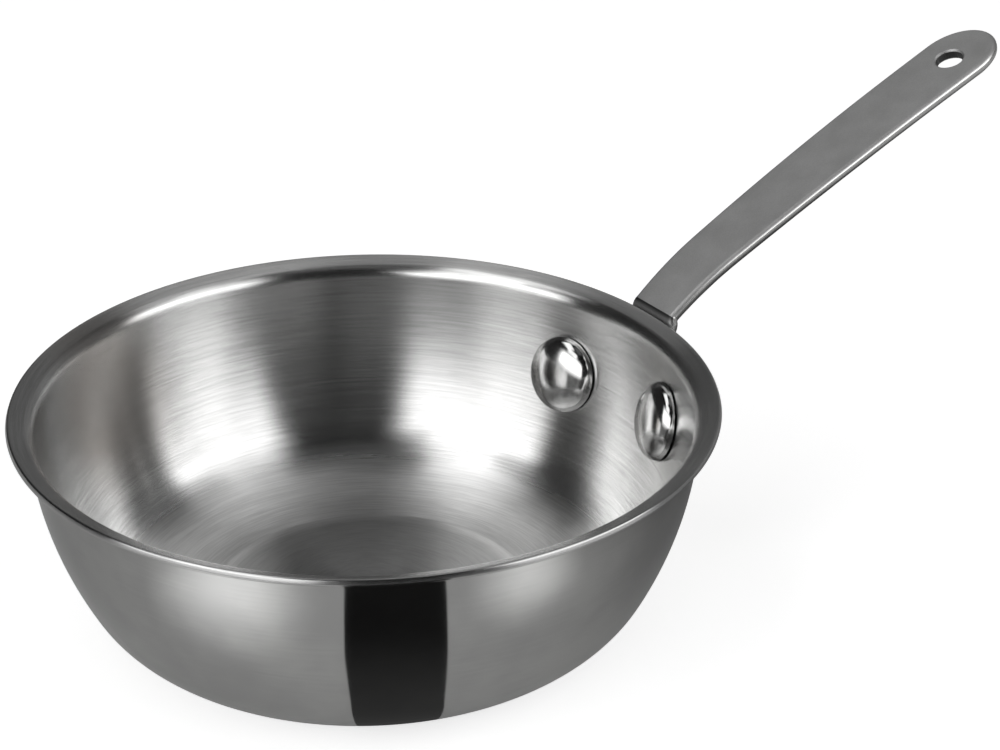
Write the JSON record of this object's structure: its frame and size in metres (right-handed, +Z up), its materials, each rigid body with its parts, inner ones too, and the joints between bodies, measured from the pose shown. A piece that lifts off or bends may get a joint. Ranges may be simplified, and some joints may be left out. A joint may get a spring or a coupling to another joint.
{
  "type": "stir-fry pan",
  "caption": "Small stainless steel stir-fry pan with a flared lip, a flat base and an upswept strip handle riveted to its wall.",
  "frame": {"origin": "centre of the flat base's underside, on the surface that the pan rests on", "axes": "+Z up, +X from the bowl's centre towards the end of the handle, +Y to the left when looking along +X"},
  "size_m": [0.2112, 0.127, 0.0825],
  "materials": {
    "brushed_steel": "brushed inside along the rings, polished outside",
    "satin_steel": "fine satin with bright rounded edges",
    "polished_steel": "polished bare steel"
  },
  "bodies": {
    "root": {"bowl": "brushed_steel", "handle": "satin_steel", "rivet_left": "polished_steel", "rivet_right": "polished_steel"}
  },
  "joints": []
}
